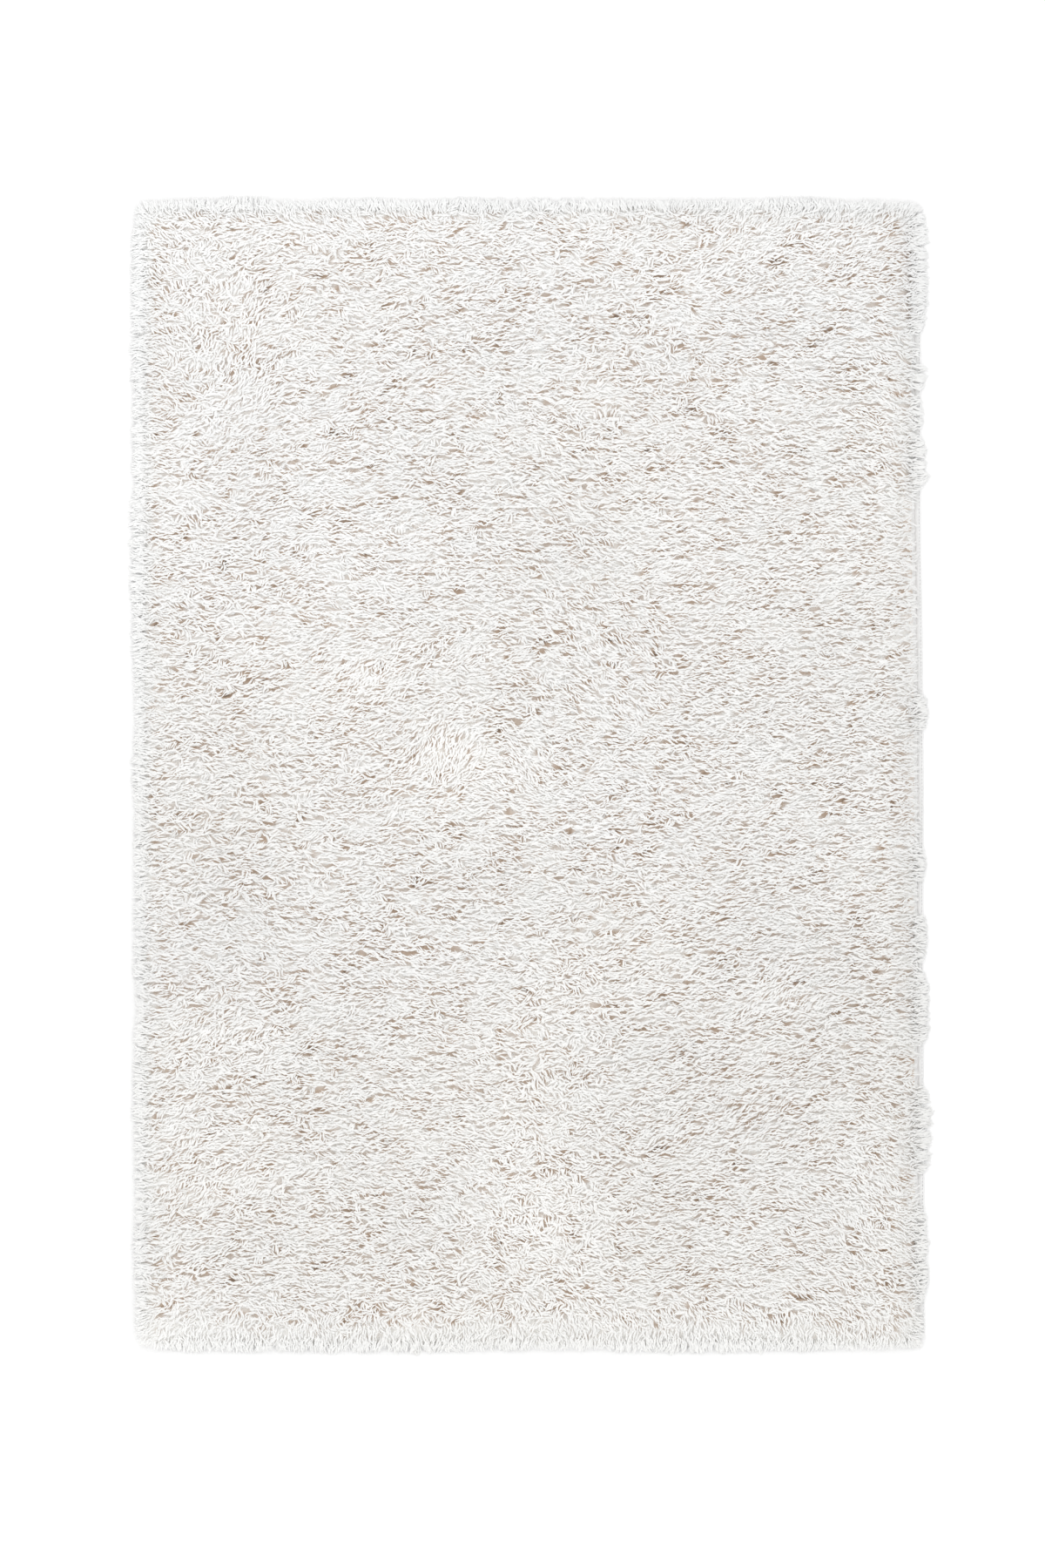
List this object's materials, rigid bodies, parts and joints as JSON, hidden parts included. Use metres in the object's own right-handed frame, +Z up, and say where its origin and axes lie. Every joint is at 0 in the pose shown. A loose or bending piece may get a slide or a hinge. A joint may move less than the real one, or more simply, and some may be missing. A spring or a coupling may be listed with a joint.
{
  "type": "shag rug",
  "caption": "Rectangular deep-pile shag rug for a living-room floor: ivory shag on a ground cloth, with overlocked long edges, lying flat.",
  "frame": {"origin": "on the floor, under the middle of the rug", "axes": "+X across the rug towards the long edge whose binding shows, +Y along the rug, +Z up through the pile"},
  "size_m": [1.6479, 2.3528, 0.0418],
  "materials": {
    "ground_cloth": "undyed plain-woven ground cloth, matt",
    "binding_yarn": "white overlocking yarn, wrapped close over the edge",
    "pile_yarn": "soft ivory shag pile, slightly lustrous, beige in its depths"
  },
  "bodies": {
    "root": {"backing": "ground_cloth", "binding_left": "binding_yarn", "binding_right": "binding_yarn", "pile": "pile_yarn"}
  },
  "joints": []
}
